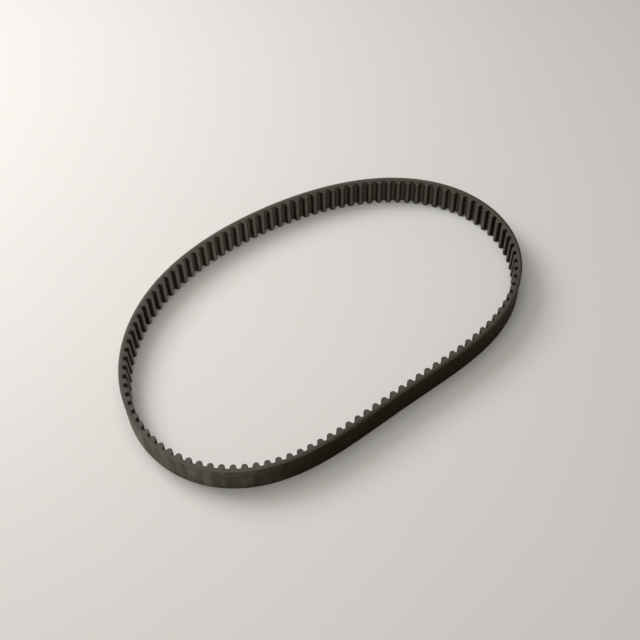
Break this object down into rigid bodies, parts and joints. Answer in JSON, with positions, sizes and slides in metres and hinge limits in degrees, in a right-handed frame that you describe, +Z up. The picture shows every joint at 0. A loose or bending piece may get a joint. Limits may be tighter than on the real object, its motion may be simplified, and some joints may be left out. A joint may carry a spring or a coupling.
{
  "type": "timing belt",
  "caption": "Endless timing belt: smooth rubber back, ply of tensile cords, round rubber teeth under a woven facing, standing on edge as an oval loop that flexes in its plane.",
  "frame": {"origin": "midway along and across the free loop, on the edge that it stands on", "axes": "+Z up along the belt's width, +X along the loop's long way"},
  "size_m": [0.2084, 0.1304, 0.015],
  "materials": {
    "backing_rubber": "satin moulded rubber, dark olive brown",
    "tooth_rubber": "matte moulded rubber",
    "facing_fabric": "fine woven nylon, rubbed with rubber",
    "glass_cord": "twisted glass-fibre cords dipped in rubber adhesive"
  },
  "bodies": {
    "stretch_01": {"backing_01": "backing_rubber", "cord_ply_01": "glass_cord", "tooth_strip_01": "tooth_rubber", "facing_01": "facing_fabric"},
    "stretch_02": {"backing_02": "backing_rubber", "cord_ply_02": "glass_cord", "tooth_strip_02": "tooth_rubber", "facing_02": "facing_fabric"},
    "stretch_03": {"backing_03": "backing_rubber", "cord_ply_03": "glass_cord", "tooth_strip_03": "tooth_rubber", "facing_03": "facing_fabric"},
    "stretch_04": {"backing_04": "backing_rubber", "cord_ply_04": "glass_cord", "tooth_strip_04": "tooth_rubber", "facing_04": "facing_fabric"},
    "stretch_05": {"backing_05": "backing_rubber", "cord_ply_05": "glass_cord", "tooth_strip_05": "tooth_rubber", "facing_05": "facing_fabric"},
    "stretch_06": {"backing_06": "backing_rubber", "cord_ply_06": "glass_cord", "tooth_strip_06": "tooth_rubber", "facing_06": "facing_fabric"},
    "stretch_07": {"backing_07": "backing_rubber", "cord_ply_07": "glass_cord", "tooth_strip_07": "tooth_rubber", "facing_07": "facing_fabric"},
    "stretch_08": {"backing_08": "backing_rubber", "cord_ply_08": "glass_cord", "tooth_strip_08": "tooth_rubber", "facing_08": "facing_fabric"},
    "stretch_09": {"backing_09": "backing_rubber", "cord_ply_09": "glass_cord", "tooth_strip_09": "tooth_rubber", "facing_09": "facing_fabric"},
    "stretch_10": {"backing_10": "backing_rubber", "cord_ply_10": "glass_cord", "tooth_strip_10": "tooth_rubber", "facing_10": "facing_fabric"},
    "stretch_11": {"backing_11": "backing_rubber", "cord_ply_11": "glass_cord", "tooth_strip_11": "tooth_rubber", "facing_11": "facing_fabric"},
    "stretch_12": {"backing_12": "backing_rubber", "cord_ply_12": "glass_cord", "tooth_strip_12": "tooth_rubber", "facing_12": "facing_fabric"},
    "stretch_13": {"backing_13": "backing_rubber", "cord_ply_13": "glass_cord", "tooth_strip_13": "tooth_rubber", "facing_13": "facing_fabric"}
  },
  "joints": [
    {"name": "flex_01", "type": "hinge", "parent": "stretch_02", "child": "stretch_01", "pos_m": [0.05056, 0.05446, 0.0075], "axis": [0, 0, -1], "range_deg": [-4.61, 4.61], "stiffness_Nm_per_rad": 0.004},
    {"name": "flex_02", "type": "hinge", "parent": "stretch_03", "child": "stretch_02", "pos_m": [0.00663, 0.0635, 0.0075], "axis": [0, 0, -1], "range_deg": [-23.52, 23.52], "stiffness_Nm_per_rad": 0.004},
    {"name": "flex_03", "type": "hinge", "parent": "stretch_04", "child": "stretch_03", "pos_m": [-0.03808, 0.06061, 0.0075], "axis": [0, 0, -1], "range_deg": [-7.85, 7.85], "stiffness_Nm_per_rad": 0.004},
    {"name": "flex_04", "type": "hinge", "parent": "stretch_05", "child": "stretch_04", "pos_m": [-0.07814, 0.04113, 0.0075], "axis": [0, 0, -1], "range_deg": [-10.18, 10.18], "stiffness_Nm_per_rad": 0.004},
    {"name": "flex_05", "type": "hinge", "parent": "stretch_06", "child": "stretch_05", "pos_m": [-0.10161, 0.00365, 0.0075], "axis": [0, 0, -1], "range_deg": [-16.77, 16.77], "stiffness_Nm_per_rad": 0.004},
    {"name": "flex_06", "type": "hinge", "parent": "stretch_07", "child": "stretch_06", "pos_m": [-0.09365, -0.03929, 0.0075], "axis": [0, 0, -1], "range_deg": [-10.01, 10.01], "stiffness_Nm_per_rad": 0.004},
    {"name": "flex_07", "type": "hinge", "parent": "stretch_07", "child": "stretch_08", "pos_m": [-0.05607, -0.06201, 0.0075], "axis": [0, 0, 1], "range_deg": [-6.48, 6.48], "stiffness_Nm_per_rad": 0.004},
    {"name": "flex_08", "type": "hinge", "parent": "stretch_08", "child": "stretch_09", "pos_m": [-0.01117, -0.06342, 0.0075], "axis": [0, 0, 1], "range_deg": [-18, 18], "stiffness_Nm_per_rad": 0.004},
    {"name": "flex_09", "type": "hinge", "parent": "stretch_09", "child": "stretch_10", "pos_m": [0.03383, -0.06207, 0.0075], "axis": [0, 0, 1], "range_deg": [-12.12, 12.12], "stiffness_Nm_per_rad": 0.004},
    {"name": "flex_10", "type": "hinge", "parent": "stretch_10", "child": "stretch_11", "pos_m": [0.07715, -0.05149, 0.0075], "axis": [0, 0, 1], "range_deg": [-4.79, 4.79], "stiffness_Nm_per_rad": 0.004},
    {"name": "flex_11", "type": "hinge", "parent": "stretch_11", "child": "stretch_12", "pos_m": [0.10238, -0.01596, 0.0075], "axis": [0, 0, 1], "range_deg": [-17.22, 17.22], "stiffness_Nm_per_rad": 0.004},
    {"name": "flex_12", "type": "hinge", "parent": "stretch_12", "child": "stretch_13", "pos_m": [0.09107, 0.02634, 0.0075], "axis": [0, 0, 1], "range_deg": [-13.61, 13.61], "stiffness_Nm_per_rad": 0.004}
  ],
  "couplings": [
    {"joint": "flex_01", "follows": "flex_08", "ratio": 0.2552},
    {"joint": "flex_02", "follows": "flex_08", "ratio": 1.3057},
    {"joint": "flex_03", "follows": "flex_08", "ratio": 0.4354},
    {"joint": "flex_04", "follows": "flex_08", "ratio": -0.5645},
    {"joint": "flex_05", "follows": "flex_08", "ratio": -0.931},
    {"joint": "flex_06", "follows": "flex_08", "ratio": -0.5555},
    {"joint": "flex_07", "follows": "flex_08", "ratio": 0.359},
    {"joint": "flex_09", "follows": "flex_08", "ratio": 0.6724},
    {"joint": "flex_10", "follows": "flex_08", "ratio": -0.2652},
    {"joint": "flex_11", "follows": "flex_08", "ratio": -0.9561},
    {"joint": "flex_12", "follows": "flex_08", "ratio": -0.7555}
  ]
}
